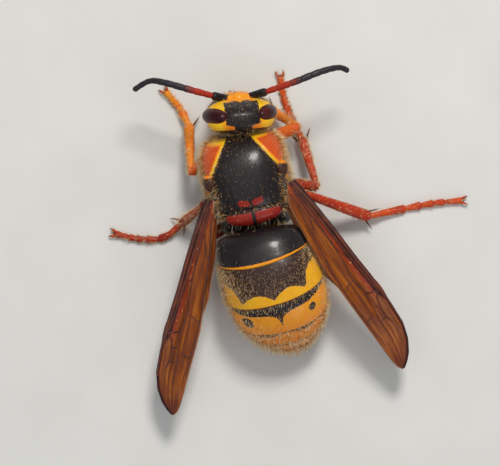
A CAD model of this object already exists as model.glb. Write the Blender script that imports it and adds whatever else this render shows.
# %% [markdown]
# # A median wasp queen at life size
#
# The wasp stands on a pale floor with her wings folded back, and the camera looks straight down on her.
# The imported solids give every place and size. They are coarse, so each is dressed here with a finer skin
# that follows the same tables of sizes, and the skins carry the yellow, orange and red markings and the
# golden hair that make this species what it is.

from math import cos, exp, hypot, pi, radians, sin, sqrt

import bmesh
import bpy
import numpy as np
from mathutils import Matrix, Vector


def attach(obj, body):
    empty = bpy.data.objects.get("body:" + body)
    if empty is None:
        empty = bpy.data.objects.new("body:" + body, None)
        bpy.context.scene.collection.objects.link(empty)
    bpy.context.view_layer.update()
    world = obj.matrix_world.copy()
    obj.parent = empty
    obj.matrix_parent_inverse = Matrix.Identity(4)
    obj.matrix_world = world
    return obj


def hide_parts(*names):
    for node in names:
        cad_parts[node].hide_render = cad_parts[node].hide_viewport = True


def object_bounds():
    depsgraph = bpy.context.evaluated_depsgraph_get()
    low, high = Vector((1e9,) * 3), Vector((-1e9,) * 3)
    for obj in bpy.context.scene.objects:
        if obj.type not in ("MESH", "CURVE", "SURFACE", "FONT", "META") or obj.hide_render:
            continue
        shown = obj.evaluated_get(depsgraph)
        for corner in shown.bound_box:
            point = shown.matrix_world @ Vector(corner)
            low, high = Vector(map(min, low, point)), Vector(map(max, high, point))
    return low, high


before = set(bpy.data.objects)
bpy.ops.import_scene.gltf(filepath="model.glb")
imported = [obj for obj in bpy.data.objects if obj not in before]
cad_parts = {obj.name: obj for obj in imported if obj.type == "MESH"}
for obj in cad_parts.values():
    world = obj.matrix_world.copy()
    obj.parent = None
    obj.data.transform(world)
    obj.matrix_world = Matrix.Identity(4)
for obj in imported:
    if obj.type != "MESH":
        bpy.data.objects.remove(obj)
CAD_BOX = [list(corner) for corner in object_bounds()]
print("solids:", len(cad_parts), "nodes in a box", CAD_BOX)

# %% [markdown]
# ## Where things are
#
# A wasp is easier to draw in millimetres round her own middle, with her head towards +Y and her right
# side at +X. One function brings such a point to metres in the place of the solids. Head and thorax are
# pitched, rolled and turned a little against each other, as in any living animal.

# %% Millimetres, and the turns of head and thorax
MM = 0.001
BODY_AT = Vector((-2.62, 3.55, 0.0))
Z = Vector((0, 0, 1))
SIDES = {"left": -1, "right": 1}


def to_metres(point):
    return (Vector(point) + BODY_AT) * MM


def turned(at, turn):
    """The place of a part of the body that is pitched, then rolled, then turned."""
    pitch, roll, yaw = (radians(angle) for angle in turn)
    turns = Matrix.Rotation(yaw, 4, "Z") @ Matrix.Rotation(roll, 4, "Y") @ Matrix.Rotation(pitch, 4, "X")
    return Matrix.Translation(at) @ turns


THORAX = turned((-0.1, 0.5, 4.25), (14.5, -2.0, 5.0))
HEAD = turned((-0.12, 5.5, 4.75), (5.0, 7.0, -2.0))
print("thorax at", tuple(THORAX.translation), "head at", tuple(HEAD.translation))

# %% [markdown]
# ## Smooth tables
#
# The shapes are tables of a few rows, such as the half width of the thorax at each distance. A smooth
# curve through the rows, of the kind that passes through every one of them, gives any place between.

# %% A curve through a table, soft steps and rounded outlines


def curve_value(a, b, c, d, t):
    """A smooth value between b and c, which knows the rows a and d on either side."""
    slope_b = (c - a) / 2
    slope_c = (d - b) / 2
    return (
        (2 * t**3 - 3 * t**2 + 1) * b
        + (t**3 - 2 * t**2 + t) * slope_b
        + (3 * t**2 - 2 * t**3) * c
        + (t**3 - t**2) * slope_c
    )


def row_at(rows, at):
    """The row at a place counted in rows, such as 2.5 between the third and the fourth."""
    at = min(max(at, 0), len(rows) - 1)
    i = min(int(at), len(rows) - 2)
    four = [rows[max(i - 1, 0)], rows[i], rows[i + 1], rows[min(i + 2, len(rows) - 1)]]
    return tuple(curve_value(*values, at - i) for values in zip(*four))


def table_at(rows, place):
    """The values beside a rising first column, joined by straight lines."""
    if place <= rows[0][0]:
        return rows[0][1:]
    for low, high in zip(rows, rows[1:]):
        if place <= high[0]:
            share = (place - low[0]) / (high[0] - low[0])
            return tuple(a + share * (b - a) for a, b in zip(low[1:], high[1:]))
    return rows[-1][1:]


def soft(value, low, high):
    """Rises smoothly from 0 at low to 1 at high."""
    share = min(max((value - low) / (high - low), 0), 1)
    return share * share * (3 - 2 * share)


def rounded(angle, square):
    """A point of an outline that is a circle at 2 and fills its corners above; 0 is its top."""
    side, up = sin(angle), cos(angle)
    return (
        abs(side) ** (2 / square) * (1 if side > 0 else -1),
        abs(up) ** (2 / square) * (1 if up > 0 else -1),
    )


print("a soft step half way:", soft(0.5, 0, 1))

# %% [markdown]
# ## Rolling a grid up
#
# Almost every skin of an insect is a tube or a sheet. A flat grid is made by one operator, each of its
# corners is laid on the shape, and the edges that meet are merged. The flat grid's own coordinates stay
# with the skin as its UV map. Numbers that tell where the markings are ride along as attributes: they
# are distances in millimetres from the edge of a marking, so that an edge stays crisp at any distance.

# %% The grid, and a finished piece
PAINT = ("bright", "warm", "dusk")  # inside a marking, its colour from yellow to red, brown in the black


def new_mesh(layers=PAINT):
    bm = bmesh.new()
    bm.loops.layers.uv.new("UVMap")
    for layer in layers:
        bm.verts.layers.float.new(layer)
    return bm


def roll(bm, surface, along, around, paint):
    """Lays a flat grid on surface(s, t), with the painted numbers paint(s, t, point)."""
    layers = [bm.verts.layers.float[name] for name in bm.verts.layers.float.keys()]
    made = bmesh.ops.create_grid(bm, x_segments=along, y_segments=around, size=0.5, calc_uvs=True)["verts"]
    for vert in made:
        s = min(max(vert.co.x + 0.5, 0), 1)
        t = min(max(vert.co.y + 0.5, 0), 1)
        point = surface(s, t)
        for layer, value in zip(layers, paint(s, t, point)):
            vert[layer] = value
        vert.co = to_metres(point)
    bmesh.ops.remove_doubles(bm, verts=made, dist=2e-7)
    kept = [vert for vert in made if vert.is_valid]
    rims = {edge for vert in kept for edge in vert.link_edges if edge.is_boundary}
    if rims:
        bmesh.ops.holes_fill(bm, edges=list(rims), sides=0)


PIECES = {}


def show(mesh, name, finish, slot, *nodes):
    """Makes a piece of a mesh, with its finish, and says which solids it stands for."""
    mesh.shade_smooth()
    piece = bpy.data.objects.new(name, mesh)
    bpy.context.scene.collection.objects.link(piece)
    mesh.materials.append(finish)
    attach(piece, "root")
    if nodes:
        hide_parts(*nodes)
    PIECES[name] = piece
    return piece


def finish_piece(bm, name, finish, slot, *nodes):
    bmesh.ops.recalc_face_normals(bm, faces=bm.faces)
    mesh = bpy.data.meshes.new(name)
    bm.to_mesh(mesh)
    bm.free()
    return show(mesh, name, finish, slot, *nodes)


print("numbers painted on a skin:", PAINT)

# %% [markdown]
# ## Shader maths
#
# A finish is a small sum of nodes. Written as Python expressions it can be read like any formula: a
# class wraps a socket, and adding or multiplying two of them adds the node that does it.

# %% The socket class and the finish maker


class Value:
    """A number or colour that comes out of a node."""

    def __init__(self, finish, socket):
        self.finish = finish
        self.socket = socket

    def maths(self, operation, first, second):
        return self.finish.node("ShaderNodeMath", {"operation": operation}, {0: first, 1: second})

    def __add__(self, other):
        return self.maths("ADD", self, other)

    def __sub__(self, other):
        return self.maths("SUBTRACT", self, other)

    def __mul__(self, other):
        return self.maths("MULTIPLY", self, other)

    def __rsub__(self, other):
        return self.maths("SUBTRACT", other, self)


class Finish:
    """A material in the making."""

    def __init__(self, name):
        self.material = bpy.data.materials.new(name)
        self.material.use_nodes = True
        self.tree = self.material.node_tree
        self.shader = self.tree.nodes["Principled BSDF"]

    def node(self, kind, settings=None, values=None, output=0):
        made = self.tree.nodes.new(kind)
        for key, value in (settings or {}).items():
            if key == "stops":
                self.set_stops(made.color_ramp, value)
            else:
                setattr(made, key, value)
        for key, value in (values or {}).items():
            self.feed(made.inputs[key], value)
        return Value(self, made.outputs[output])

    def set_stops(self, ramp, stops):
        while len(ramp.elements) < len(stops):
            ramp.elements.new(1.0)
        for element, (place, colour) in zip(ramp.elements, stops):
            element.position = place
            element.color = (*colour, 1)

    def feed(self, socket, value):
        if isinstance(value, Value):
            self.tree.links.new(value.socket, socket)
        else:
            socket.default_value = value

    def attribute(self, name):
        return self.node("ShaderNodeAttribute", {"attribute_name": name}, output="Fac")

    def place(self):
        return self.node("ShaderNodeTexCoord", output="Object")

    def noise(self, size, detail):
        """Cloudy noise with blotches of about `size` millimetres."""
        values = {"Vector": self.place(), "Scale": 1 / (size * MM), "Detail": detail}
        return self.node("ShaderNodeTexNoise", None, values)

    def cells(self, size):
        """Distance from the middles of random cells about `size` millimetres wide."""
        values = {"Vector": self.place(), "Scale": 1 / (size * MM)}
        return self.node("ShaderNodeTexVoronoi", None, values, "Distance")

    def step(self, value, low, high):
        """0 below low, 1 above high and smooth between."""
        values = {"Value": value, "From Min": low, "From Max": high}
        return self.node("ShaderNodeMapRange", {"interpolation_type": "SMOOTHSTEP"}, values)

    def mix(self, share, first, second):
        return self.node("ShaderNodeMix", {"data_type": "RGBA"}, {0: share, 6: first, 7: second}, 2)

    def ramp(self, value, *stops):
        return self.node("ShaderNodeValToRGB", {"stops": stops}, {"Fac": value})

    def bump(self, height, distance, strength=1.0):
        """Height in parts of `distance` millimetres."""
        values = {"Height": height, "Distance": distance * MM, "Strength": strength}
        return self.node("ShaderNodeBump", None, values)

    def done(self, **sockets):
        for name, value in sockets.items():
            self.feed(self.shader.inputs[name.replace("_", " ")], value)
        return self.material


print("shader sockets wrapped by", Value.__name__)

# %% [markdown]
# ## The cuticle
#
# A wasp's armour is a thin, glossy, slightly uneven shell with tiny pits, from which the hairs grow. One
# finish serves the whole body. It reads the painted distances: inside a marking the colour runs from
# yellow over orange to deep red, and outside it from black to brown. Noise frays the edges a little, as
# pigment does, and the pits are cells in the bump.

# %% One finish for the shell, in five kinds


def cuticle(name, gloss, pits, fray=0.05, mottle=0.16, coat=0.16, dark=(0.007, 0.006, 0.008)):
    paint = Finish(name)
    brown = (0.055, 0.018, 0.01)
    blotch = paint.noise(0.9, 2)
    fine = paint.noise(0.16, 3)
    mask = paint.step(paint.attribute("bright") + (fine - 0.5) * fray * 3, -0.025, 0.03)
    warm = paint.attribute("warm") + (blotch - 0.5) * (mottle * 0.5 + 0.08)
    bright = paint.ramp(
        warm,
        (0.0, (0.93, 0.56, 0.01)),
        (0.25, (0.92, 0.33, 0.005)),
        (0.5, (0.84, 0.14, 0.003)),
        (0.75, (0.52, 0.034, 0.003)),
        (1.0, (0.27, 0.008, 0.004)),
    )
    dusk = paint.attribute("dusk")
    shadow = paint.mix(dusk, (*dark, 1), (*brown, 1))
    speck = paint.step(fine, 0.3, 0.62)
    deeper = paint.mix(0.45, bright, (0.25, 0.05, 0.004, 1))
    bright = paint.mix(speck * mottle + (1 - mottle), deeper, bright)
    colour = paint.mix(mask, shadow, bright)
    dents = paint.cells(0.13)
    height = paint.step(dents, 0.12, 0.45) * pits + fine * 0.35
    return paint.done(
        Base_Color=colour,
        Roughness=fine * 0.2 + (gloss - 0.1) + mask * 0.08 + dusk * 0.12,
        Normal=paint.bump(height, 0.028, 0.8),
        Coat_Weight=coat - dusk * coat * 0.8,
        Coat_Roughness=0.16,
        Specular_IOR_Level=0.3,
    )


GASTER_SHELL = cuticle("gaster_shell", 0.36, 0.45, coat=0.32)
THORAX_SHELL = cuticle("thorax_shell", 0.36, 0.75, 0.035, coat=0.28)
HEAD_SHELL = cuticle("head_shell", 0.35, 0.45, 0.035)
LIMB_SHELL = cuticle("limb_shell", 0.4, 0.5, 0.09, 0.45, 0.08)
WHIP_SHELL = cuticle("whip_shell", 0.42, 0.4, 0.05, 0.3, 0.05, (0.016, 0.018, 0.026))
print("shell finishes:", [item.name for item in bpy.data.materials if item.name.endswith("shell")])

# %% [markdown]
# ## The gaster
#
# The hind body is six plates that telescope into each other. Each is a ring of armour whose rear rim
# lies over the front of the next, so each skin starts a little under the rim before it and curls in at
# its own. The bands are what names the species: a thin line on the first plate, a scalloped band with a
# deep middle notch on the second, and on the third a black base with a point down the middle and a
# round spot on either side.

# %% The shape of the gaster
GASTER_FRONT = Vector((0.2, -3.27, 0.0))
GASTER_SWING = (0.22, 0.0065)
GASTER_ROLL = -6.0
# Rings: top (distance back, height), bottom (distance back, height), half width
GASTER_ROWS = (
    (-0.32, 4.4, -0.06, 2.8, 1.2), (-0.42, 5.15, 0.02, 2.25, 2.58), (-0.14, 5.9, 0.18, 1.88, 3.02),
    (0.6, 6.42, 0.6, 1.58, 3.22), (1.5, 6.67, 1.06, 1.35, 3.31), (2.22, 6.75, 1.44, 1.15, 3.38),
    (3.7, 6.68, 2.55, 0.9, 3.56), (5.12, 6.2, 3.7, 0.75, 3.6), (6.22, 5.55, 4.7, 0.68, 3.42),
    (7.22, 4.62, 5.7, 0.65, 3.0), (8.12, 3.45, 6.7, 0.68, 2.25), (8.62, 2.45, 7.55, 0.78, 1.45),
    (8.84, 1.75, 8.2, 0.9, 0.78), (8.9, 1.4, 8.55, 1.0, 0.32),
)
GASTER_JOINTS = (0, 5, 7, 9, 10, 11, 13)
# How far a rim reaches forward at the flank, in rows, at rows of the table
GASTER_SWEEP = ((0, 0.0), (5, 0.8), (7, 0.38), (9, 0.34), (11, 0.22), (13, 0.0))
MOST_SWEEP = 1.15
RISE = Z * 3.6
GASTER_TURN = (
    Matrix.Translation(GASTER_FRONT + RISE)
    @ Matrix.Rotation(radians(-GASTER_ROLL), 4, Vector((GASTER_SWING[0], -1, 0)))
    @ Matrix.Translation(-GASTER_FRONT - RISE)
)


def gaster_line(back, height):
    lean, bend = GASTER_SWING
    return GASTER_FRONT + Vector((lean * back - bend * back * back, -back, height))


def gaster_point(at, angle, scale):
    """A point of the gaster: a place in rows, an angle from the top towards her right, a scale."""
    at -= table_at(GASTER_SWEEP, at)[0] * min(1 - cos(angle), MOST_SWEEP)
    top_back, top_z, low_back, low_z, half = row_at(GASTER_ROWS, at)
    top, low = gaster_line(top_back, top_z), gaster_line(low_back, low_z)
    up = (top - low).normalized()
    lean, bend = GASTER_SWING
    # Square to the thorax at its front, and square to its own line from the first rim on
    share = min(0.4 + (top_back + low_back) / 9, 1)
    side = Vector((1, (lean - bend * (top_back + low_back)) * share, 0))
    side = (side - up * side.dot(up)).normalized()
    across, high = rounded(angle, 2.15)
    point = (top + low) / 2 + side * across * half * scale + up * high * (top - low).length / 2 * scale
    return GASTER_TURN @ point


def plate_length(first, last):
    """Length of a plate along its top, in millimetres."""
    points = [gaster_line(*row_at(GASTER_ROWS, first + (last - first) * i / 12)[:2]) for i in range(13)]
    return sum((b - a).length for a, b in zip(points, points[1:]))


print("plates, mm:", [round(plate_length(a, b), 2) for a, b in zip(GASTER_JOINTS, GASTER_JOINTS[1:])])

# %% The bands of the gaster
# Depth of the yellow band of the second plate, in millimetres, at angles from the top
SCALLOP = (
    (0, 0.42), (3, 0.62), (8, 0.84), (14, 0.98), (20, 1.0), (27, 0.88), (33, 0.66), (38, 0.5),
    (41, 0.62), (44.5, 1.08), (48, 1.42), (57, 1.6), (72, 1.62), (95, 1.42), (130, 1.0), (180, 0.7),
)
# Depth of the black base of the third plate
BASE = (
    (0, 1.95), (1.2, 1.45), (3, 1.12), (7, 0.9), (14, 0.76), (25, 0.68), (38, 0.6), (50, 0.45),
    (62, 0.28), (80, 0.2), (180, 0.3),
)
# The round spots on the third plate: how far behind the rim, angle from the top, radius
SPOT_BEHIND = 1.26
SPOTS = {1: (42, 0.34), -1: (43, 0.52)}


def gaster_paint(plate, behind, before, degrees_off):
    """Numbers of a place on a plate, `behind` the last rim and `before` its own, in millimetres."""
    off = abs(degrees_off)
    if plate == 1:
        return 0.26 - before, 0.26 - 0.2 * soft(before, 0.08, 0.0), 0.1
    if plate == 2:
        edge = table_at(SCALLOP, off)[0] - before
        return edge, 0.13 + 0.18 * soft(before, 0.16, 0.0), 0.62
    if plate == 3:
        angle, radius = SPOTS[1 if degrees_off > 0 else -1]
        edge = behind - table_at(BASE, off)[0]
        from_spot = hypot(behind - SPOT_BEHIND, (off - angle) * 0.06) - radius
        return min(edge, from_spot), 0.24 + 0.1 * soft(before, 1.2, 0), 0.2
    if plate == 4:
        return behind - 0.2 + 0.14 * cos(radians(off) * 7), 0.33, 0.7
    return behind - 0.12, 0.34 + 0.03 * (plate - 4), 0.85


def gaster_plate(plate):
    first, last = GASTER_JOINTS[plate - 1], GASTER_JOINTS[plate]
    length = plate_length(first, last)
    start = first if plate == 1 else first - 0.28
    ending = plate == 6

    def surface(s, t):
        at = start + (last - start) * s
        scale = 1.0 + 0.012 * s
        if plate > 1:
            scale -= 0.045 * (1 - soft(s, 0, 0.34))
        if ending:
            scale *= sqrt(max(1 - (max(s - 0.8, 0) / 0.2) ** 2, 0))
        elif s > 0.975:
            scale -= 0.05 * ((s - 0.975) / 0.025) ** 2
        return gaster_point(at, 2 * pi * (0.5 - t), scale)

    def paint(s, t, point):
        behind = (start + (last - start) * s - first) / (last - first) * length
        return gaster_paint(plate, behind, length - behind, 360 * (0.5 - t))

    bm = new_mesh()
    roll(bm, surface, 96 if plate < 4 else 60, 220, paint)
    slot = "cuticle_black" if plate < 3 else "cuticle_orange"
    return finish_piece(bm, "gaster_plate_%d" % plate, GASTER_SHELL, slot, "gaster_%d" % plate)


GASTER = [gaster_plate(plate) for plate in range(1, 7)]
print("gaster skins:", [len(piece.data.polygons) for piece in GASTER])

# %% [markdown]
# ## The thorax
#
# The thorax is a stiff box of fused plates that holds the flight muscles. It is rolled as one skin, so
# that no seam gapes, and its grooves are pressed into the skin where one plate meets the next. The
# collar in front is orange with yellow rims, open on top for the black shield. Behind the shield sit
# two cushions, and the first of them, the scutellum, has two red patches.

# %% The shape of the thorax and its grooves
# Along its own axis: y, half width, top, bottom
THORAX_ROWS = (
    (4.05, 0.45, -0.55, -1.35), (3.8, 0.85, -0.1, -1.6), (3.6, 1.7, 0.5, -1.85),
    (3.3, 2.3, 1.15, -2.05), (2.7, 2.75, 1.8, -2.35), (1.8, 2.95, 2.32, -2.6), (0.9, 3.0, 2.58, -2.75),
    (0.0, 3.0, 2.66, -2.78), (-0.9, 2.9, 2.58, -2.7), (-1.8, 2.75, 2.25, -2.55),
    (-2.5, 2.68, 1.62, -2.25), (-3.05, 2.64, 0.98, -1.9), (-3.38, 2.48, 0.5, -1.6),
    (-3.6, 2.06, 0.1, -1.3), (-3.68, 1.2, -0.3, -1.05),
)
# Half width of the black shield, at distances along the thorax
SHIELD_ROWS = (
    (-6.0, 6.0), (0.85, 2.62), (1.5, 2.25), (2.2, 1.8), (2.8, 1.42), (3.15, 1.16), (3.4, 0.96),
    (3.6, 0.76), (3.9, 0.6),
)


def into_collar(x, y, z):
    """Distance into the collar from its seam, in millimetres; less than 0 outside it."""
    plane = (y - 1.15) * cos(radians(24)) + (z - 1.3) * sin(radians(24))
    if z < -0.1:
        return plane
    return min(plane, 0.82 * (abs(x) - table_at(SHIELD_ROWS, y)[0]))


def line(distance, width):
    """1 on a line and 0 away from it."""
    return exp(-((distance / width) ** 2))


def thorax_relief(x, y, z):
    """How far the skin stands out of its plain shape, in millimetres."""
    collar = into_collar(x, y, z)
    relief = -0.13 * line(collar - 0.02, 0.06) + 0.07 * soft(collar, 0.0, 0.3)
    rear = (y + 2.35) * cos(radians(12)) - z * sin(radians(12))
    relief -= 0.1 * line(rear, 0.07)
    if z > 1 and collar < 0:
        relief -= 0.02 * line(x, 0.035) * soft(y, -0.6, -0.2) * soft(y, 1.7, 1.2)
        relief -= 0.03 * line(abs(x) - 1.3 - 0.1 * y, 0.05) * soft(y, -1.2, -0.9) * soft(y, 0.9, 0.4)
        relief -= 0.09 * line(abs(x) - 2.42, 0.07) * soft(y, 0.95, 0.6)
        relief -= 0.14 * line(y + 1.37 + 0.1 * x * x / 4, 0.09)
    if z < 1.2:
        relief -= 0.07 * line(y - 0.1 - 0.22 * (1.2 - z), 0.06) * soft(abs(x), 1.0, 1.6)
        relief -= 0.06 * line(z + 0.35 + 0.1 * y, 0.07) * soft(y, 0.3, -0.2)
    return relief


def thorax_point(s, t):
    y, half, top, bottom = row_at(THORAX_ROWS, s * (len(THORAX_ROWS) - 1))
    across, high = rounded(2 * pi * (0.5 - t), 2.25)
    x, z = across * half, (top + bottom) / 2 + high * (top - bottom) / 2
    relief = thorax_relief(x, y, z)
    out = Vector((across / half, 0, high / ((top - bottom) / 2))).normalized()
    return THORAX @ (Vector((x, y, z)) + out * relief)


THORAX_BACK = THORAX.inverted()


def thorax_paint(s, t, point):
    x, y, z = THORAX_BACK @ point
    collar = into_collar(x, y, z)
    bright = min(collar - 0.05, z + 0.9, 3.66 - y)
    warm = 0.05 + 0.6 * soft(collar, 0.15, 0.36) * soft(y, 3.46, 3.24)
    off, back = (abs(x) - 0.5) / 0.41, (y + 0.82 - 0.2 * (abs(x) - 0.5)) / 0.25
    spot = 0.3 * (1 - (off**4 + back**4) ** 0.25)
    if z > 1.5 and spot > -0.2:
        bright, warm = max(bright, spot), 0.96
    flank = 0.34 - hypot(y - 0.25, z - 0.75)
    if abs(x) > 1.5 and flank > -0.2:
        bright, warm = max(bright, flank), 0.35
    return bright, warm, 0.1


bm = new_mesh()
roll(bm, thorax_point, 190, 240, thorax_paint)
nodes = ("pronotum", "mesothorax", "propodeum")
thorax = finish_piece(bm, "thorax_skin", THORAX_SHELL, "cuticle_black", *nodes)
print("thorax skin:", len(thorax.data.polygons), "faces")

# %% The cushions behind the shield, and the scales over the wing roots


def blob(name, place, finish, slot, node, paint, rings=72):
    """A rounded lump: a unit ball brought to its place by a matrix."""

    def surface(s, t):
        up, angle = pi * (s - 0.5), 2 * pi * t
        return place @ Vector((cos(up) * cos(angle), cos(up) * sin(angle), sin(up)))

    back = place.inverted()
    bm = new_mesh()
    roll(bm, surface, rings, rings, lambda s, t, point: paint(*(back @ point)))
    return finish_piece(bm, name, finish, slot, *([node] if node else []))


def cushion_place(y, z, halves, lean):
    turn = Matrix.Translation((0, y, z)) @ Matrix.Rotation(radians(lean), 4, "X")
    return THORAX @ turn @ Matrix.Diagonal((*halves, 1))


def scutellum_paint(x, y, z):
    patch = min(abs(x) * 2.15 - 0.13, (0.93 - hypot(x, y * 0.72)) * 1.2, 0.62 * z + 0.12 + 0.2 * y)
    return patch, 0.98, 0.1


def plain_black(x, y, z):
    return -1, 0.5, 0.15


def tegula_paint(x, y, z):
    return (y - 0.52) * 0.6, 0.36, 1.0


place = cushion_place(-1.96, 1.45, (2.15, 0.78, 1.0), -14)
scutellum = blob("scutellum_cushion", place, THORAX_SHELL, "cuticle_red", "scutellum", scutellum_paint)
place = cushion_place(-2.98, 0.62, (1.72, 0.34, 0.62), -38)
blob("metanotum_cushion", place, THORAX_SHELL, "cuticle_black", "metanotum", plain_black)
for side, sign in SIDES.items():
    turn = Matrix.Rotation(radians(sign * 46), 4, "Y") @ Matrix.Diagonal((0.46, 0.6, 0.32, 1))
    place = Matrix.Translation(THORAX @ Vector((sign * 2.7, 0.92, 1.36))) @ turn
    name = "tegula_" + side
    blob(name + "_scale", place, LIMB_SHELL, "cuticle_red", name, tegula_paint, 40)
print("thorax pieces:", [name for name in PIECES if not name.startswith("gaster")])

# %% [markdown]
# ## The head
#
# The head is a broad capsule, rolled from its height. The face plate, the brow and the rims of the
# antenna sockets swell out of it, and it sinks in round the two big eyes. The crown between the eyes is
# black with three small eyes on it, and so is the skin round the antennae. The brow, the face and the
# temples are orange-yellow.

# %% The shape of the head
# Along its own height: z, half width, front, back
HEAD_ROWS = (
    (-2.5, 0.05, 1.0, 0.85), (-2.42, 0.6, 1.22, 0.62), (-2.25, 0.98, 1.42, 0.3),
    (-1.8, 1.35, 1.52, -0.1), (-1.1, 1.85, 1.5, -0.65), (-0.4, 2.22, 1.42, -1.05),
    (0.3, 2.44, 1.25, -1.28), (0.95, 2.44, 1.02, -1.34), (1.5, 2.1, 0.78, -1.28),
    (1.95, 1.42, 0.45, -1.05), (2.22, 0.8, 0.1, -0.72), (2.3, 0.05, -0.3, -0.36),
)
# Swellings of the face: middle and half sizes
SWELLINGS = (
    ((0, 1.22, -1.42), (1.15, 0.4, 0.98)),
    ((0, 1.22, 0.1), (0.55, 0.4, 0.62)),
    ((0.7, 1.2, 0.16), (0.36, 0.3, 0.36)),
    ((-0.7, 1.2, 0.16), (0.36, 0.3, 0.36)),
)
SMALL_EYES = ((0, 0.38, 2.0), (0.27, -0.04, 2.2), (-0.27, -0.04, 2.2))


def eye_place(sign):
    turn = Matrix.Rotation(radians(sign * -19), 4, "Y") @ Matrix.Rotation(radians(4), 4, "X")
    at = Matrix.Translation((sign * 1.72, 0.02, 0.66))
    return HEAD @ at @ turn @ Matrix.Diagonal((0.92, 0.68, 1.48, 1))


EYES = {side: eye_place(sign) for side, sign in SIDES.items()}
EYES_BACK = {side: place.inverted() for side, place in EYES.items()}


def head_point(s, t):
    z, half, front, back = row_at(HEAD_ROWS, s * (len(HEAD_ROWS) - 1))
    across, forward = rounded(2 * pi * (0.5 - t), 2.7)
    x, y = across * half, (front + back) / 2 + forward * (front - back) / 2
    for middle, halves in SWELLINGS:
        reach = ((x - middle[0]) / halves[0]) ** 2 + ((z - middle[2]) / halves[2]) ** 2
        if reach < 1 and y > 0.5:
            y = max(y, middle[1] + halves[1] * sqrt(1 - reach))
    if y > 0.9:
        y -= 0.06 * line(x, 0.05) * soft(z, 0.5, 0.9)
    point = HEAD @ Vector((x, y, z))
    for side in SIDES:
        near = EYES_BACK[side] @ point
        far = near.length
        if far < 1.32:
            target = min(far, 0.9) + 0.42 * soft(far, 0.92, 1.32)
            point = EYES[side] @ (near * (min(target, far) / far))
    return point


HEAD_BACK = HEAD.inverted()


def head_paint(s, t, point):
    x, y, z = HEAD_BACK @ point
    off = abs(x)
    # Black crown between the eyes, with a scalloped front edge above the brow
    edge = 1.0 - 0.1 * cos((off - 0.45) * 6) - 0.1 * soft(off, 0.8, 1.2)
    crown = min(z - edge, 1.24 - off - 0.62 * soft(y, -0.6, -0.8))
    # Black back of the head, behind and between the yellow temples
    nape = min(-1.0 - y, 2.02 - off)
    # The black bar down the middle of the face plate, the seam round the plate, and the throat
    stripe = 0.085 + 0.05 * soft(z, -1.5, -1.0) - hypot(off, max(abs(z + 1.3) - 0.36, 0))
    throat = min(0.25 - y, -1.2 - z)
    plate = hypot((off / (1.22 + 0.16 * (z + 1.5))) ** 2, ((z + 1.5) / 1.06) ** 2)
    seam = 0.03 - abs(plate - 1 + 0.07 * soft(off, 0.35, 0.0) * soft(z, -1.5, -0.6))
    # Black from the socket of each antenna to the eye, below the yellow rim of the eye
    socket = min(0.38 - hypot(z - 0.18, max(abs(off - 1.5) - 0.4, 0) * 0.9), y - 0.1)
    dark = max(crown, nape, max(stripe, seam) if y > 0.9 else -1, throat, socket)
    # Lemon yellow beside the eyes, orange on the brow and towards the neck
    warm = 0.05 + 0.35 * soft(off, 1.7, 0.9)
    if y > 0.3:
        warm = 0.27 - 0.22 * soft(off, 0.9, 1.2) * soft(z, -1.9, -1.2)
    return -dark, warm, 0.12


bm = new_mesh()
roll(bm, head_point, 170, 260, head_paint)
head = finish_piece(bm, "head_skin", HEAD_SHELL, "cuticle_black", "head")
print("head skin:", len(head.data.polygons), "faces")

# %% [markdown]
# ## Eyes
#
# A compound eye is thousands of tiny lenses. From a step away they only soften the gloss, so a very
# fine cell bump does it, under a thin clear coat that keeps a small highlight. The three small eyes on
# the crown are single lenses, like drops of dark amber.

# %% The eyes and the three small eyes


def eye_finish():
    glass = Finish("eye_glass")
    lenses = glass.cells(0.035)
    depth = glass.step(glass.noise(1.1, 1), 0.3, 0.7)
    colour = glass.mix(depth, (0.022, 0.003, 0.006, 1), (0.075, 0.01, 0.008, 1))
    return glass.done(
        Base_Color=colour,
        Roughness=depth * 0.08 + 0.34,
        Normal=glass.bump(lenses, 0.004, 0.5),
        Coat_Weight=0.2,
        Coat_Roughness=0.1,
        Specular_IOR_Level=0.12,
    )


def amber_finish():
    drop = Finish("small_eye_amber")
    colour = drop.ramp(drop.noise(0.12, 1), (0.3, (0.02, 0.007, 0.004)), (0.7, (0.07, 0.024, 0.01)))
    return drop.done(Base_Color=colour, Roughness=0.08, Coat_Weight=1.0)


EYE_GLASS = eye_finish()
SMALL_EYE = amber_finish()
SMALL_EYE_RADIUS = 0.155


def unmarked(*place):
    return 0, 0, 0


for side in SIDES:
    name = "eye_" + side
    blob(name + "_lens", EYES[side], EYE_GLASS, "eye_maroon", name, unmarked, 80)
for number, at in enumerate(SMALL_EYES):
    place = HEAD @ Matrix.Translation(at) @ Matrix.Scale(SMALL_EYE_RADIUS, 4)
    blob("small_eye_%d" % number, place, SMALL_EYE, "eye_maroon", None, unmarked, 20)
print("eyes:", [name for name in PIECES if "eye" in name])

# %% [markdown]
# ## Limbs
#
# Legs, antennae, jaws, spurs and claws are all round bars of changing thickness, so one function rolls
# any of them from rows of place and radius. Rounded ends close them, and where two meet at a joint each
# reaches into the other.

# %% A bar through rows of x, y, z and radius


def closed_rows(rows):
    """Adds a rounded end before and after the rows."""
    first, last = Vector(rows[0][:3]), Vector(rows[-1][:3])
    start = (first - Vector(rows[1][:3])).normalized()
    end = (last - Vector(rows[-2][:3])).normalized()
    head_rows = [(*(first + start * rows[0][3] * k), rows[0][3] * r) for k, r in ((0.85, 0.02), (0.6, 0.6))]
    tail_rows = [(*(last + end * rows[-1][3] * k), rows[-1][3] * r) for k, r in ((0.6, 0.6), (0.85, 0.02))]
    return head_rows + list(rows) + tail_rows


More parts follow.
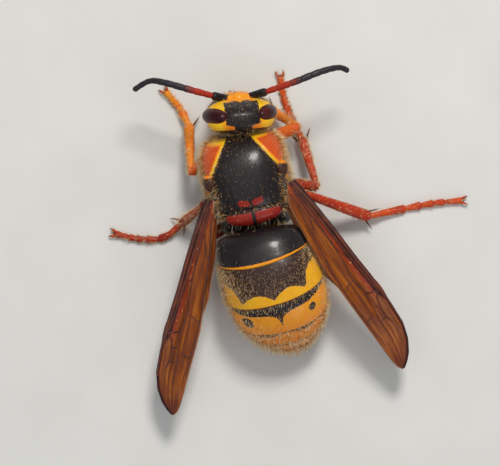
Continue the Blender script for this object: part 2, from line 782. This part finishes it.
def bar(bm, rows, paint, steps, around, flat=1.0):
    """A round bar with `steps` rings for each row and `around` corners in a ring."""
    rows = closed_rows(rows)
    count = len(rows) - 1

    def surface(s, t):
        at = s * count
        x, y, z, radius = row_at(rows, at)
        ahead, behind = row_at(rows, at + 0.15), row_at(rows, at - 0.15)
        along = (Vector(ahead[:3]) - Vector(behind[:3])).normalized()
        side = along.cross(Z).normalized()
        up = side.cross(along)
        angle = 2 * pi * (0.5 - t)
        radius = max(radius, 0.004)
        point = Vector((x, y, z)) + side * sin(angle) * radius + up * cos(angle) * radius * flat
        # Flat where it would sink into the floor
        point.z = max(point.z, 0.006 + 0.03 * (z - point.z - radius))
        return point

    roll(bm, surface, count * steps, around, lambda s, t, point: paint(s))


def bar_piece(name, ending, finish, slot, *bars):
    """The skin of one solid, of one or more bars that are each given as bar() takes them."""
    bm = new_mesh()
    for bar_settings in bars:
        bar(bm, *bar_settings)
    finish_piece(bm, name + ending, finish, slot, name)


print("a bar of 4 rows has", len(closed_rows([(0, 0, k, 1) for k in range(4)])), "rows")

# %% [markdown]
# ## Antennae and jaws
#
# An antenna is a long black shaft and a whip of ten rings. The whip is red near its root, the rest is
# dark with a dull blue-grey bloom. Each ring swells a little towards its far end.

# %% Antennae and jaws
ANTENNAE = {
    "right": (
        (0.72, 6.72, 4.95), (2.0, 6.85, 5.62), (4.16, 7.3, 6.0), (6.04, 7.8, 5.75),
        (7.38, 7.98, 5.2), (8.0, 7.73, 4.75),
    ),
    "left": (
        (-0.76, 6.74, 4.95), (-1.88, 7.02, 5.62), (-3.46, 7.64, 6.0), (-5.2, 8.36, 5.75),
        (-6.26, 8.63, 5.2), (-7.4, 8.19, 4.75),
    ),
}
WHIP_RINGS = 10
WHIP_RADIUS = 0.245
# Shares of the shaft's length, and its radius there
SHAFT = ((-0.08, 0.196), (0.1, 0.238), (0.5, 0.28), (0.9, 0.302))
# A jaw, as places on the head and radii
JAW = (
    (1.32, 0.78, -1.95, 0.36), (1.18, 0.98, -2.45, 0.4), (0.72, 1.12, -2.85, 0.34),
    (0.3, 1.15, -3.02, 0.14),
)


def whip_rows(side):
    path = ANTENNAE[side][1:]
    rows = []
    for ring in range(WHIP_RINGS):
        for share, swell in ((0.02, 0.86), (0.14, 0.96), (0.8, 1.02), (0.97, 0.93)):
            place = (ring + share) / WHIP_RINGS
            taper = 0.84 + 0.18 * sin(pi * min(place * 1.3, 1) ** 0.8)
            rows.append((*row_at(path, place * (len(path) - 1)), WHIP_RADIUS * taper * swell))
    return rows


def whip_paint(s):
    groove = soft(abs((s * WHIP_RINGS) % 1 - 0.5), 0.3, 0.5)
    return 0.16 - abs(s - 0.12) * 1.1, 0.88 + 0.1 * s, 0.15 + 0.35 * groove


for side, sign in SIDES.items():
    base, elbow = (Vector(point) for point in ANTENNAE[side][:2])
    shaft = [(*base.lerp(elbow, share), radius) for share, radius in SHAFT]
    shaft_bar = (shaft, lambda s: (-1, 0, 0.05), 10, 24)
    bar_piece("scape_" + side, "_shaft", HEAD_SHELL, "cuticle_black", shaft_bar)
    whip_bar = (whip_rows(side), whip_paint, 4, 24)
    bar_piece("flagellum_" + side, "_whip", WHIP_SHELL, "antenna_red", whip_bar)
    jaw = [(*(HEAD @ Vector((sign * x, y, z))), radius) for x, y, z, radius in JAW]
    jaw_bar = (jaw, lambda s: (0.6 - s, 0.16, 0.8), 6, 24)
    bar_piece("mandible_" + side, "_jaw", LIMB_SHELL, "cuticle_yellow", jaw_bar)
print("antennae and jaws:", [name for name in PIECES if name.endswith(("_shaft", "_whip", "_jaw"))])

# %% [markdown]
# ## Legs
#
# Each leg has a stout coxa under the thorax, a thigh, a shin with spurs at its end, and a foot of five
# rings with two claws and a pad. The front legs are orange, the others go over brown-red to the bright
# red of the hind legs, darker at the joints.

# %% Where the legs are
# Hip, end of the coxa, knee, end of the shin, then the points of the foot
LEGS = {
    "front_right": (
        (0.95, 3.0, 2.7), (1.55, 3.45, 1.75), (4.0, 4.2, 2.9), (2.2, 5.7, 0.78),
        (1.25, 6.2, 0.21), (0.45, 6.62, 0.2), (-0.3, 7.0, 0.2),
    ),
    "front_left": (
        (-0.95, 3.0, 2.7), (-1.6, 3.25, 1.75), (-4.09, 1.8, 3.0), (-3.9, 5.28, 0.75),
        (-4.35, 6.5, 0.21), (-4.8, 7.25, 0.2), (-5.25, 7.93, 0.2),
    ),
    "mid_right": (
        (1.15, 0.6, 2.0), (1.8, 0.3, 1.25), (4.86, -0.29, 3.0), (4.26, 3.28, 0.78),
        (3.6, 5.1, 0.21), (3.28, 6.69, 0.2), (3.22, 8.0, 0.2),
    ),
    "mid_left": (
        (-1.15, 0.6, 2.0), (-1.8, 0.25, 1.25), (-3.62, -0.8, 3.3), (-5.24, -1.75, 0.78),
        (-6.67, -2.65, 0.21), (-8.35, -2.6, 0.2), (-10.2, -1.98, 0.2),
    ),
    "hind_right": (
        (1.1, -1.75, 2.25), (1.85, -2.45, 1.65), (3.66, -0.62, 3.85), (8.41, -2.9, 0.8),
        (10.6, -2.72, 0.22), (13.2, -2.53, 0.2), (15.4, -2.57, 0.2),
    ),
    "hind_left": (
        (-1.1, -1.75, 2.25), (-1.8, -2.3, 1.6), (-3.9, -3.15, 3.45), (-5.35, -7.9, 0.8),
        (-5.8, -10.0, 0.22), (-6.4, -12.0, 0.2), (-6.8, -13.5, 0.2),
    ),
}
# Thickest radius of thigh, end of the shin, root of the foot and its toe
LEG_RADII = {
    "front": (0.46, 0.36, 0.29, 0.24),
    "mid": (0.45, 0.34, 0.27, 0.23),
    "hind": (0.48, 0.42, 0.28, 0.23),
}
# Warmth of the colour of thigh, shin and foot
LEG_WARMTH = {
    "front_right": (0.55, 0.38, 0.32), "front_left": (0.55, 0.38, 0.32),
    "mid_right": (0.9, 0.8, 0.66), "mid_left": (0.97, 0.95, 0.88),
    "hind_right": (0.88, 0.8, 0.68), "hind_left": (0.92, 0.86, 0.76),
}
FOOT_JOINTS = (0, 0.42, 0.58, 0.71, 0.82, 1)
# Shares of a piece's length, and of its thickest radius there
COXA = ((0, 0.72), (0.5, 0.68), (1, 0.46))
THIGH = ((0, 0.7), (0.12, 0.62), (0.3, 0.9), (0.55, 1.0), (0.85, 0.84), (0.97, 0.72))
SHIN = ((0, 0.66), (0.08, 0.58), (0.2, 0.74), (0.5, 0.88), (0.8, 1.0), (0.98, 0.96))

# %% The four pieces of a leg


def straight(start, end, profile, thick, bow):
    """Rows from start to end, bowed upwards in the middle."""
    return [(*(start.lerp(end, at) + Z * bow * sin(pi * at)), thick * swell) for at, swell in profile]


def shin_spurs(knee, end, thick, sides):
    along = (end - knee).normalized()
    level = along.cross(Z).normalized()
    root = knee.lerp(end, 0.95)
    for side in sides:
        base = root + level * side * thick * 0.55
        point = root + along * 1.0 + level * side * 0.8
        point.z = max(point.z, 0.14)
        rows = [(*base, 0.085), (*base.lerp(point, 0.5), 0.06), (*point, 0.015)]
        yield rows, lambda s: (-1, 0, 1), 5, 10


def foot_rows(points, root, toe):
    reach = [Vector(row_at(points[3:], i * 0.05)) for i in range(61)]
    lengths = [0]
    for a, b in zip(reach, reach[1:]):
        lengths.append(lengths[-1] + (b - a).length)
    rows = []
    for ring in range(5):
        radius = root + (toe - root) * ring / 4
        for share, swell in ((0.02, 0.62), (0.14, 0.8), (0.6, 0.92), (0.92, 1.08)):
            at = (FOOT_JOINTS[ring] + (FOOT_JOINTS[ring + 1] - FOOT_JOINTS[ring]) * share) * lengths[-1]
            point = [np.interp(at, lengths, [p[k] for p in reach]) for k in range(3)]
            rows.append((*point, radius * swell))
    return rows


def toe_claws(rows):
    tip, before = Vector(rows[-1][:3]), Vector(rows[-2][:3])
    along = (tip - before).normalized()
    level = along.cross(Z).normalized()
    for side in (1, -1):
        root = tip + level * side * 0.07
        bend = root + along * 0.36 + level * side * 0.17 + Z * 0.1
        hook = root + along * 0.6 + level * side * 0.24 - Z * 0.1
        yield [(*root, 0.1), (*bend, 0.075), (*hook, 0.015)], lambda s: (0.55 - s, 0.75, 0.6), 5, 10
    pad = tip + along * 0.22
    yield [(*tip, 0.12), (*pad, 0.13)], lambda s: (-1, 0, 0.8), 5, 12


def joint_paint(warm):
    """Darker red towards both ends of a piece."""
    return lambda s: (1.0, warm + 0.24 * (2 * abs(s - 0.5)) ** 3, 0.5)


def ring_paint(warm):
    """Darker red where one ring of the foot meets the next."""
    return lambda s: (1, warm + 0.12 * soft(abs((s * 5) % 1 - 0.5), 0.3, 0.5), 0.5)


for leg, points in LEGS.items():
    front = leg.startswith("front")
    thigh, shin, root, toe = LEG_RADII[leg.split("_")[0]]
    warmths = LEG_WARMTH[leg]
    hip, trochanter, knee, ankle = (Vector(point) for point in points[:4])
    coxa = straight(hip, trochanter, COXA, 1, 0), lambda s: (s * 0.25 - 0.3, 0.8, 0.2), 8, 26
    femur = straight(trochanter, knee, THIGH, thigh, 0.12), joint_paint(warmths[0]), 8, 26
    tibia = straight(knee, ankle, SHIN, shin, 0.15), joint_paint(warmths[1]), 8, 26
    tarsus = foot_rows(points, root, toe), ring_paint(warmths[2]), 3, 20
    spurs = shin_spurs(knee, ankle, shin, (1,) if front else (1, -1))
    slot = "cuticle_orange" if front else "cuticle_red"
    bar_piece(leg + "_coxa", "_skin", LIMB_SHELL, "cuticle_black", coxa)
    bar_piece(leg + "_femur", "_skin", LIMB_SHELL, slot, femur)
    bar_piece(leg + "_tibia", "_skin", LIMB_SHELL, slot, tibia, *spurs)
    bar_piece(leg + "_tarsus", "_skin", LIMB_SHELL, slot, tarsus, *toe_claws(tarsus[0]))
print("leg pieces:", len([name for name in PIECES if name.endswith("_skin")]))

# %% [markdown]
# ## Wings
#
# Wasps of this family fold their forewings lengthwise, so each looks like a narrow brown blade. The
# membrane is a thin sheet with soft pleats, darkest along its stiff front edge, and the veins are fine
# bars that lie on it and bound its cells. The smaller hindwing lies under it.

# %% The shape of the wings
WING_LENGTH = 15.9
SHEET_HALF = 0.03
VEIN_LIFT = 0.035
WINGS = {
    "right": (Vector((3.0, 0.25, 5.55)), Vector((9.66, -14.4, 2.75))),
    "left": (Vector((-3.0, -0.35, 5.55)), Vector((-7.56, -15.6, 2.75))),
}
# How far the inner edge near the root lies outward of the table
WIDER = {"right": -0.26, "left": 0.2}
# Distance from the root, and the outer and the inner edge beside the chord
FOREWING = (
    (0.0, 0.3, -0.35), (0.6, 0.42, -0.55), (1.6, 0.6, -0.8), (4.2, 0.95, -0.98), (7.0, 1.25, -1.05),
    (9.4, 1.58, -1.0), (11.4, 1.7, -0.82), (13.0, 1.72, -0.66), (14.2, 1.42, -0.56),
    (15.1, 0.95, -0.46), (15.6, 0.5, -0.34), (15.9, 0.12, -0.12),
)
HINDWING = (
    (0.5, 0.1, -0.4), (1.5, 0.25, -1.02), (4.0, 0.45, -1.38), (7.0, 0.55, -1.32), (9.5, 0.6, -0.75),
    (11.0, 0.55, -0.3), (11.6, 0.3, 0.02),
)
# Veins, as points (distance from the root, distance beside the chord), and their radius
FORE_VEINS = (
    (((0.2, 0.05), (2.0, 0.4), (4.5, 0.78), (7.2, 1.1), (9.9, 1.5)), 0.15),
    (((0.5, -0.05), (2.6, 0.26), (5.0, 0.56), (7.4, 0.9), (9.7, 1.26)), 0.11),
    (((9.2, 1.4), (9.9, 1.48), (10.7, 1.56)), 0.19),
    (((10.6, 1.56), (11.8, 1.62), (13.2, 1.6)), 0.08),
    (((10.0, 1.3), (10.7, 0.92), (12.1, 0.9), (13.2, 1.55)), 0.065),
    (((0.8, -0.2), (3.6, 0.1), (5.6, 0.2)), 0.1),
    (((5.6, 0.2), (6.6, 0.55), (7.5, 0.98)), 0.06),
    (((5.5, 0.2), (7.0, 0.22), (8.4, 0.15), (9.6, 0.38), (10.9, 0.42)), 0.06),
    (((8.4, 0.16), (8.6, -0.35), (8.9, -0.78)), 0.055),
    (((9.7, 0.42), (9.9, 0.86), (10.0, 1.3)), 0.055),
    (((11.1, 0.92), (11.0, 0.66), (10.9, 0.42)), 0.05),
    (((12.0, 0.9), (12.0, 0.55), (12.2, 0.3)), 0.05),
    (((10.9, 0.42), (12.1, 0.32), (13.6, 0.4)), 0.05),
    (((1.2, -0.45), (4.4, -0.72), (8.0, -0.84), (11.0, -0.66), (12.8, -0.48)), 0.07),
    (((10.9, 0.42), (11.4, -0.1), (11.6, -0.6)), 0.05),
    (((2.2, -0.05), (3.4, -0.3), (4.4, -0.7)), 0.05),
)
REAR_VEINS = (
    (((0.7, -0.05), (4.0, 0.22), (7.0, 0.34), (9.8, 0.4)), 0.1),
    (((1.0, -0.4), (4.0, -0.6), (7.6, -0.5)), 0.06),
    (((1.2, -0.7), (3.6, -1.05), (6.4, -1.05)), 0.05),
    (((5.0, 0.26), (5.4, -0.2), (5.6, -0.56)), 0.05),
)


def wing_place(side, drop):
    root, tip = WINGS[side]
    along = Vector((tip.x - root.x, tip.y - root.y, 0)).normalized()
    outward = Vector((-along.y, along.x, 0)) * SIDES[side]
    fall = (root.z - tip.z) / WING_LENGTH**2

    def at(u, v, lift=0.0):
        z = root.z - drop - fall * u * (0.35 * WING_LENGTH + 0.65 * u) - 0.22 * v - 0.05 * v * v
        pleat = 0.1 * sin(2 * pi * (v + 0.15) / 1.25) * soft(u, 0, 3) * soft(u, 15.6, 12)
        return Vector((root.x, root.y, 0)) + along * u + outward * v + Z * (z + 0.06 + pleat + lift)

    return at


# %% [markdown]
# A membrane lets a little light through but is far from colourless. Its finish is a deep amber with
# darker streaks along the wing and a fine crepe of wrinkles in the bump.

# %% The finish of membrane and veins


def membrane_finish():
    film = Finish("wing_membrane")
    rim = film.attribute("rim")
    reach = film.attribute("reach")
    uv = film.node("ShaderNodeTexCoord", output="UV")
    stretched = film.node("ShaderNodeMapping", None, {"Vector": uv, "Scale": (5, 26, 1)})
    streak = film.node("ShaderNodeTexNoise", None, {"Vector": stretched, "Scale": 1.0, "Detail": 4.0})
    blotch = film.noise(1.3, 3)
    # The front band is wide as far as the dark spot, and a red strip runs behind it
    inner_part = film.step(reach, 11.0, 9.6)
    wide = inner_part * 0.42
    front = film.step(rim - wide, 0.34, 0.1)
    strip = film.step(rim, 0.5, 0.62) * film.step(rim, 1.0, 0.8) * inner_part
    hem = film.step(film.attribute("hem"), 0.085, 0.035)
    shade = front * 0.62 + film.step(streak, 0.3, 0.7) * 0.42 + blotch * 0.35 - 0.08
    shade = shade + film.step(reach, 4.0, 0.0) * 0.12 + film.step(reach, 13.6, 15.8) * 0.2 + 0.05
    colour = film.ramp(
        shade,
        (0.0, (0.56, 0.17, 0.008)),
        (0.3, (0.28, 0.062, 0.005)),
        (0.65, (0.1, 0.016, 0.006)),
        (1.0, (0.03, 0.006, 0.008)),
    )
    crepe = film.noise(0.22, 5)
    glint = film.step(crepe, 0.6, 0.7)
    colour = film.mix(strip * 0.6, colour, (0.38, 0.04, 0.006, 1))
    colour = film.mix(strip * glint * 0.6, colour, (0.95, 0.5, 0.22, 1))
    colour = film.mix(hem * 0.55, colour, (0.7, 0.36, 0.16, 1))
    return film.done(
        Base_Color=colour,
        Roughness=crepe * 0.3 + 0.22,
        Alpha=shade * 0.25 + 0.74,
        Normal=film.bump(crepe + streak * 0.6, 0.06, 0.7),
        Coat_Weight=0.08,
        Coat_Roughness=0.2,
        Specular_IOR_Level=0.28,
    )


def vein_finish():
    cord = Finish("wing_vein")
    colour = cord.ramp(cord.noise(0.8, 2), (0.3, (0.05, 0.01, 0.005)), (0.7, (0.16, 0.03, 0.008)))
    skin = cord.bump(cord.noise(0.1, 2), 0.01)
    return cord.done(Base_Color=colour, Roughness=0.42, Normal=skin, Coat_Weight=0.1)


MEMBRANE = membrane_finish()
VEIN = vein_finish()


def wing(kind, side, rows, veins, drop):
    at = wing_place(side, drop)
    first, last = rows[0][0], rows[-1][0]

    def sheet(s, t):
        """Distance from the root, inner edge, width, and the share of it that lies inward."""
        u = first + (last - first) * s
        outer, inner = table_at(rows, u)
        inner = inner + WIDER[side] * soft(u, 10, 5) * soft(u, 0, 1.2)
        return u, inner, outer - inner, 1 - abs(2 * t - 1)

    def surface(s, t):
        # Down the upper face and back along the lower one, so that the thin sheet is closed
        u, inner, width, across = sheet(s, t)
        thin = SHEET_HALF * min(1, 12 * across * (1 - across)) * (1 if t < 0.5 else -1)
        return at(u, inner + width * across, thin)

    def paint(s, t, point):
        u, _, width, across = sheet(s, t)
        return width * (1 - across), width * across, u

    bm = new_mesh(("rim", "hem", "reach"))
    roll(bm, surface, 170, 48, paint)
    name = "%s_%s" % (kind, side)
    finish_piece(bm, name + "_membrane", MEMBRANE, "wing_amber", name)
    bm = new_mesh()
    for points, radius in veins:
        vein_rows = [(*at(u, v, VEIN_LIFT), radius) for u, v in points]
        vein_rows[0] = (*vein_rows[0][:3], radius * 0.8)
        vein_rows[-1] = (*vein_rows[-1][:3], radius * 0.6)
        bar(bm, vein_rows, unmarked, 12, 8, 0.8)
    finish_piece(bm, name + "_veins", VEIN, "wing_amber")


for side in SIDES:
    wing("forewing", side, FOREWING, FORE_VEINS, 0)
    wing("hindwing", side, HINDWING, REAR_VEINS, 0.86)
print("wing pieces:", [name for name in PIECES if "wing" in name])

# %% [markdown]
# ## Hair
#
# The wasp is covered in fine golden hair, longest on the flanks of the gaster and the sides of the
# thorax. One hair is a slim three-sided spike with a bend, made by extruding a triangle twice. Copies
# of it are set at random places of a skin, leaning the way the coat lies. Each hair's second map
# keeps it in a tiny patch at its root's place on the skin's own unwrap.

# %% One hair, and a coat of them


def one_hair():
    bm = bmesh.new()
    bmesh.ops.create_circle(bm, segments=3, radius=1)
    rim = list(bm.edges)
    for rise, width in ((0.55, 0.72), (0.45, 0.0)):
        grown = bmesh.ops.extrude_edge_only(bm, edges=rim)["geom"]
        rim = [item for item in grown if isinstance(item, bmesh.types.BMEdge) and item.is_boundary]
        verts = [item for item in grown if isinstance(item, bmesh.types.BMVert)]
        bmesh.ops.scale(bm, vec=(width, width, 1), verts=verts)
        bmesh.ops.translate(bm, vec=(0, 0, rise), verts=verts)
    bmesh.ops.remove_doubles(bm, verts=bm.verts, dist=1e-6)
    bmesh.ops.recalc_face_normals(bm, faces=bm.faces)
    bm.verts.index_update()
    points = np.array([vert.co[:] for vert in bm.verts])
    faces = [[vert.index for vert in face.verts] for face in bm.faces]
    bm.free()
    return points, faces


HAIR_POINTS, HAIR_FACES = one_hair()
ROOT_DEPTH = 0.02
MAP_PATCH = 0.003


def unit(rows):
    return rows / np.maximum(np.linalg.norm(rows, axis=1, keepdims=True), 1e-9)


def numbers(items, key, width=1, kind=float):
    """Numbers of a mesh's corners, vertices or triangles, in rows where each has more than one."""
    found = np.empty(len(items) * width, kind)
    items.foreach_get(key, found)
    return found if width == 1 else found.reshape(-1, width)


def scatter(piece, count, weight, seed):
    """Random roots on a skin, more of them where weight(places, normals, bright) is larger."""
    mesh = piece.data
    mesh.calc_loop_triangles()
    triangles = mesh.loop_triangles
    corners = numbers(triangles, "vertices", 3, int)
    normals = numbers(triangles, "normal", 3)
    bright = numbers(mesh.attributes["bright"].data, "value")[corners].mean(axis=1)
    points = numbers(mesh.vertices, "co", 3)[corners]
    maps = numbers(mesh.uv_layers["UVMap"].uv, "vector", 2)[numbers(triangles, "loops", 3, int)]
    middles = points.mean(axis=1) / MM - np.array(BODY_AT)
    chances = numbers(triangles, "area") * np.clip(weight(middles, normals, bright), 0, None)
    rng = np.random.default_rng(seed)
    picked = rng.choice(len(triangles), size=count, p=chances / chances.sum())
    share = rng.random((count, 2))
    share[share.sum(axis=1) > 1] = 1 - share[share.sum(axis=1) > 1]
    share = np.column_stack((1 - share.sum(axis=1), share))[:, :, None]
    roots = (points[picked] * share).sum(axis=1)
    return roots, normals[picked], (maps[picked] * share).sum(axis=1)


def flank(normals):
    """0 where a skin faces up, 1 where it faces sideways or down."""
    return 1 - np.clip(normals[:, 2], 0, 1)


def coat(name, skins, shares, weight, lie, length, radius, rise, tone, seed, slot):
    """A coat over several skins: `lie` is the way it lies and `rise` how much it stands up."""
    scattered = [scatter(skin, n, weight, seed + k) for k, (skin, n) in enumerate(zip(skins, shares))]
    cells = np.repeat(np.arange(len(skins)), shares)
    roots, normals, maps = (np.concatenate(rows) for rows in zip(*scattered))
    total = len(roots)
    rng = np.random.default_rng(seed)
    places = roots / MM - np.array(BODY_AT)
    way = unit(lie(places) + rng.normal(0, 0.22, (total, 3)))
    stands = rise(places, normals)[:, None]
    lean = unit(normals * stands + way * (1 - stands))
    bend = unit(way - normals * (way * normals).sum(axis=1, keepdims=True)) * 0.35
    long = (length(places, normals) * rng.uniform(0.55, 1.2, total) * MM)[:, None, None]
    across = unit(np.cross(lean, rng.normal(0, 1, (total, 3))))
    upright = np.cross(lean, across)
    px, py, pz = HAIR_POINTS.T[:, None, :, None]
    thick = (radius * MM * (0.65 + 1.3 * rng.random(total) ** 3))[:, None, None]
    body = roots[:, None, :] - normals[:, None, :] * ROOT_DEPTH * MM
    body = body + (across[:, None, :] * px + upright[:, None, :] * py) * thick
    body = body + (lean[:, None, :] * pz + bend[:, None, :] * pz * pz) * long
    # Hair bends along the floor, and none reaches out of the box of the solids
    body = np.clip(body, np.array(CAD_BOX[0]) + (0, 0, ROOT_DEPTH * MM), CAD_BOX[1])
    per = len(HAIR_POINTS)
    faces = [[base + corner for corner in face] for base in range(0, total * per, per) for face in HAIR_FACES]
    mesh = bpy.data.meshes.new(name)
    mesh.from_pydata(body.reshape(-1, 3).tolist(), [], faces)
    unwrap = (np.column_stack(((cells + maps[:, 0]) / len(skins), maps[:, 1]))) * 0.99
    patch = np.column_stack(((HAIR_POINTS[:, 0] + 1) / 2, HAIR_POINTS[:, 2])) * MAP_PATCH
    spots = (unwrap[:, None, :] + patch[None, :, :]).reshape(-1, 2)
    corners = numbers(mesh.loops, "vertex_index", kind=int)
    mesh.uv_layers.new(name="OFBake").uv.foreach_set("vector", spots[corners].ravel())
    tones = tone(places, normals) + rng.normal(0, 0.2, total)
    tones = np.clip(tones[:, None] + (HAIR_POINTS[:, 2] - 0.35)[None, :] * 0.95, 0, 1)
    mesh.attributes.new("tone", "FLOAT", "POINT").data.foreach_set("value", tones.ravel())
    show(mesh, name, HAIR, slot)
    print(name, total, "hairs,", total * 9, "triangles")


def hair_finish():
    strand = Finish("golden_hair")
    tone = strand.attribute("tone")
    colour = strand.ramp(
        tone,
        (0.0, (0.025, 0.01, 0.006)),
        (0.35, (0.3, 0.085, 0.012)),
        (0.7, (0.88, 0.42, 0.06)),
        (1.0, (1.0, 0.92, 0.64)),
    )
    return strand.done(Base_Color=colour, Roughness=strand.noise(0.3, 1) * 0.2 + 0.32, Coat_Weight=0.1)


HAIR = hair_finish()
print("one hair has", len(HAIR_POINTS), "points")

# %% The coats of gaster, thorax, head and legs


def tail(places):
    """1 on the last three plates of the gaster and 0 before them."""
    return np.clip((-9.6 - places[:, 1]) / 1.4, 0, 1)


def thinned(bright, inside, outside):
    """The weight of roots inside and outside the markings."""
    return np.where(bright > 0.03, inside, outside)


def grows(plain, side=0.0, power=1.0, end=0.0):
    """A number of the hair that changes towards the flanks and over the tail."""
    return lambda p, n: plain + side * flank(n) ** power + end * tail(p)


def gaster_coat(name, skins, shares, radius, seed):
    coat(
        name, skins, shares,
        lambda p, n, bright: thinned(bright, 0.08, 1.0) + 0.7 * flank(n) ** 2 + 0.4 * tail(p),
        lambda p: (0.18, -0.95, -0.25),
        grows(0.14, 0.36, 1.5, 0.1),
        radius,
        grows(0.28, 0.42, 1.0, 0.14),
        grows(0.62, 0.1, 1.0, -0.04),
        seed, "cuticle_yellow",
    )


gaster_coat("gaster_hair_front", GASTER[:2], (220, 16000), 0.01, 11)
gaster_coat("gaster_hair_rear", GASTER[2:], (4100, 4600, 3200, 1200), 0.016, 17)
SHIELD_END = -1.9
coat(
    "thorax_hair", [thorax, scutellum], (9500, 160),
    lambda p, n, bright: (thinned(bright, 0.03, 0.09) + 1.0 * flank(n) ** 1.4)
    * np.where(p[:, 1] < SHIELD_END, 0.14, 1.0),
    lambda p: np.sign(p) * (0.25, 0, 0) + (0, -0.55, 0.2),
    grows(0.1, 0.52, 1.4),
    0.011,
    grows(0.45, 0.35),
    lambda p, n: 0.4 + 0.3 * flank(n) + 0.3 * (p[:, 1] < SHIELD_END),
    23, "cuticle_black",
)
coat(
    "head_hair", [head], (1700,),
    lambda p, n, bright: thinned(bright, 0.25, 0.6) + 0.4 * flank(n),
    lambda p: (0.0, 0.5, 0.2),
    grows(0.13, 0.14),
    0.009,
    grows(0.8),
    grows(0.62),
    37, "cuticle_black",
)
limbs = [PIECES["%s_%s_skin" % (leg, part)] for leg in LEGS for part in ("femur", "tibia", "tarsus")]
LEG_HAIRS = (420, 520, 460) * 2 + (650, 900, 640) + (420, 520, 460) + (260, 300, 300) * 2
coat(
    "leg_hair", limbs, LEG_HAIRS,
    lambda p, n, bright: 1,
    lambda p: unit(p * (1, 1, 0) - np.array((0, 1, 0)) + 1e-6) * 0.8,
    grows(0.19, 0.12),
    0.011,
    grows(0.52),
    grows(0.74),
    51, "cuticle_red",
)

# %% [markdown]
# ## Floor, light and camera
#
# A plain pale floor, a strong light from ahead of the head, a wide one overhead and a weak one from
# behind. The camera looks straight down through a long lens and is turned a few degrees against her.

# %% Floor


def floor_finish():
    card = Finish("floor_card")
    colour = card.ramp(card.noise(6, 2), (0.3, (0.7, 0.69, 0.66)), (0.7, (0.74, 0.73, 0.7)))
    return card.done(Base_Color=colour, Roughness=0.75, Normal=card.bump(card.noise(0.3, 2), 0.01))


FLOOR_HALF = 1.5  # metres
bm = bmesh.new()
bmesh.ops.create_grid(bm, x_segments=1, y_segments=1, size=FLOOR_HALF)
mesh = bpy.data.meshes.new("floor")
bm.to_mesh(mesh)
bm.free()
floor = bpy.data.objects.new("floor", mesh)
bpy.context.scene.collection.objects.link(floor)
mesh.materials.append(floor_finish())

# %% Lights and camera
LIT_AT = Vector((0, 0, 0.003))


def lamp(name, place, size, power, colour):
    """A square light that faces the wasp; metres and watts."""
    data = bpy.data.lights.new(name, "AREA")
    data.size = size
    data.energy = power
    data.color = colour
    light = bpy.data.objects.new(name, data)
    light.location = place
    light.rotation_euler = (LIT_AT - Vector(place)).to_track_quat("-Z", "Y").to_euler()
    bpy.context.scene.collection.objects.link(light)


lamp("ahead", (0.05, 0.15, 0.21), 0.06, 0.45, (1.0, 0.97, 0.92))
lamp("overhead", (-0.06, -0.02, 0.35), 0.5, 0.36, (0.95, 0.98, 1.0))
lamp("behind", (0.1, -0.22, 0.12), 0.12, 0.1, (0.92, 0.96, 1.0))
world = bpy.data.worlds.new("studio")
world.use_nodes = True
sky = world.node_tree.nodes["Background"].inputs
sky["Color"].default_value = (0.8, 0.83, 0.88, 1)
sky["Strength"].default_value = 0.28
bpy.context.scene.world = world
bpy.context.scene.view_settings.view_transform = "Standard"

SCALE = 13.8  # pixels of the picture for each millimetre
AIM = to_metres((-0.37, -3.09, 4.0))
FAR = 0.19  # metres from the wasp to the camera
FILM = 36
PICTURE_WIDTH = 500  # pixels
camera_data = bpy.data.cameras.new("camera")
camera_data.sensor_width = FILM
camera_data.lens = FILM * FAR / (PICTURE_WIDTH / SCALE * MM)
camera_data.clip_start = 0.005
camera = bpy.data.objects.new("camera", camera_data)
right, upward = Vector((0.993, -0.119, 0)).normalized(), Vector((0.119, 0.993, 0)).normalized()
camera.matrix_world = Matrix.Translation(AIM + Z * FAR) @ Matrix((right, upward, Z)).transposed().to_4x4()
bpy.context.scene.collection.objects.link(camera)
bpy.context.scene.camera = camera
print("lens:", round(camera_data.lens, 1), "mm, camera at", tuple(camera.matrix_world.translation))

# %% Sizes, and the end
bpy.context.view_layer.update()
